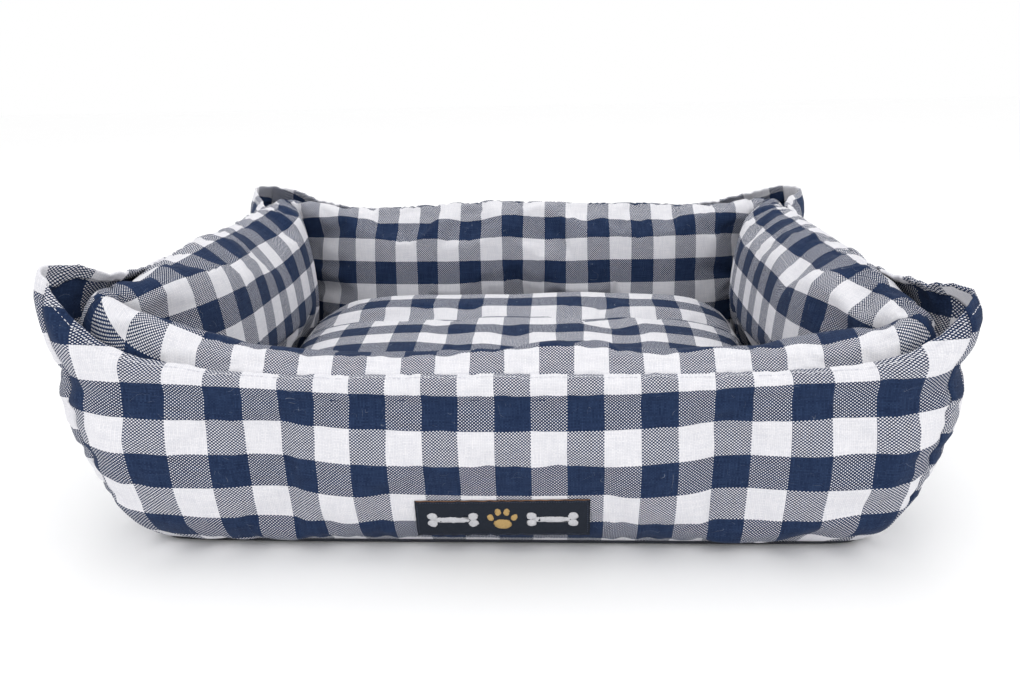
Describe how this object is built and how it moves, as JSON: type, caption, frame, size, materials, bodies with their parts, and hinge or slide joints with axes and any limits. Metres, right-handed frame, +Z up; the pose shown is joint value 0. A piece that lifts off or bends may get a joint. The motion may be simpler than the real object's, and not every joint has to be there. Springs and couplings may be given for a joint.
{
  "type": "pet cushion bed",
  "caption": "Rectangular padded pet bed: four fibre-filled gingham walls with standing corner ears round a domed cushion that lifts out.",
  "frame": {"origin": "middle of the bed's footprint, on the surface it stands on", "axes": "+Z up, +X along the bed's length towards its right side, -Y out of the low front wall that carries the label"},
  "size_m": [0.6344, 0.5384, 0.2101],
  "materials": {
    "check_cotton": "plain-weave cotton in a navy and white gingham check",
    "base_cloth": "dark coated cloth with small grip dots",
    "fibre_fill": "loose polyester fibre in a white nonwoven",
    "foam": "cut flexible foam",
    "zip_tape": "woven navy zip tape with a nylon coil",
    "zip_metal": "nickel-plated die casting",
    "label": "dense woven label with light embroidery"
  },
  "bodies": {
    "bed": {"base_underside": "base_cloth", "base_foam_pad": "foam", "floor_panel": "check_cotton", "front_outer_panel": "check_cotton", "front_inner_panel": "check_cotton", "front_zip_chain": "zip_tape", "front_bolster": "fibre_fill", "right_outer_panel": "check_cotton", "right_inner_panel": "check_cotton", "right_zip_chain": "zip_tape", "right_bolster": "fibre_fill", "back_outer_panel": "check_cotton", "back_inner_panel": "check_cotton", "back_zip_chain": "zip_tape", "back_bolster": "fibre_fill", "left_outer_panel": "check_cotton", "left_inner_panel": "check_cotton", "left_zip_chain": "zip_tape", "left_bolster": "fibre_fill", "woven_label": "label"},
    "cushion": {"cushion_cover_top": "check_cotton", "cushion_cover_bottom": "check_cotton", "cushion_fill": "fibre_fill", "cushion_zip_chain": "zip_tape"},
    "front_zip_slider": {"front_zip_slider": "zip_metal"},
    "front_zip_pull": {"front_zip_pull": "zip_metal"},
    "right_zip_slider": {"right_zip_slider": "zip_metal"},
    "right_zip_pull": {"right_zip_pull": "zip_metal"},
    "back_zip_slider": {"back_zip_slider": "zip_metal"},
    "back_zip_pull": {"back_zip_pull": "zip_metal"},
    "left_zip_slider": {"left_zip_slider": "zip_metal"},
    "left_zip_pull": {"left_zip_pull": "zip_metal"},
    "cushion_zip_slider": {"cushion_zip_slider": "zip_metal", "cushion_zip_pull": "zip_metal"}
  },
  "joints": [
    {"name": "cushion_lift", "type": "slide", "parent": "bed", "child": "cushion", "axis": [0, 0, 1], "range_m": [0, 0.25]},
    {"name": "front_zip_run", "type": "slide", "parent": "bed", "child": "front_zip_slider", "axis": [-1, 0, 0], "range_m": [0, 0.315]},
    {"name": "front_pull_swing", "type": "hinge", "parent": "front_zip_slider", "child": "front_zip_pull", "pos_m": [0.15, -0.24565, 0.13443], "axis": [0, -0.6094, -0.7929], "range_deg": [0, 180]},
    {"name": "right_zip_run", "type": "slide", "parent": "bed", "child": "right_zip_slider", "axis": [0, -1, 0], "range_m": [0, 0.255]},
    {"name": "right_pull_swing", "type": "hinge", "parent": "right_zip_slider", "child": "right_zip_pull", "pos_m": [0.29386, 0.12, 0.1758], "axis": [0.5048, 0, -0.8632], "range_deg": [0, 180]},
    {"name": "back_zip_run", "type": "slide", "parent": "bed", "child": "back_zip_slider", "axis": [1, 0, 0], "range_m": [0, 0.315]},
    {"name": "back_pull_swing", "type": "hinge", "parent": "back_zip_slider", "child": "back_zip_pull", "pos_m": [-0.15, 0.24585, 0.17329], "axis": [0, 0.5103, -0.86], "range_deg": [0, 180]},
    {"name": "left_zip_run", "type": "slide", "parent": "bed", "child": "left_zip_slider", "axis": [0, 1, 0], "range_m": [0, 0.255]},
    {"name": "left_pull_swing", "type": "hinge", "parent": "left_zip_slider", "child": "left_zip_pull", "pos_m": [-0.29388, -0.12, 0.18082], "axis": [-0.4941, 0, -0.8694], "range_deg": [0, 180]},
    {"name": "cushion_zip_run", "type": "slide", "parent": "cushion", "child": "cushion_zip_slider", "axis": [1, 0, 0], "range_m": [0, 0.26]}
  ]
}
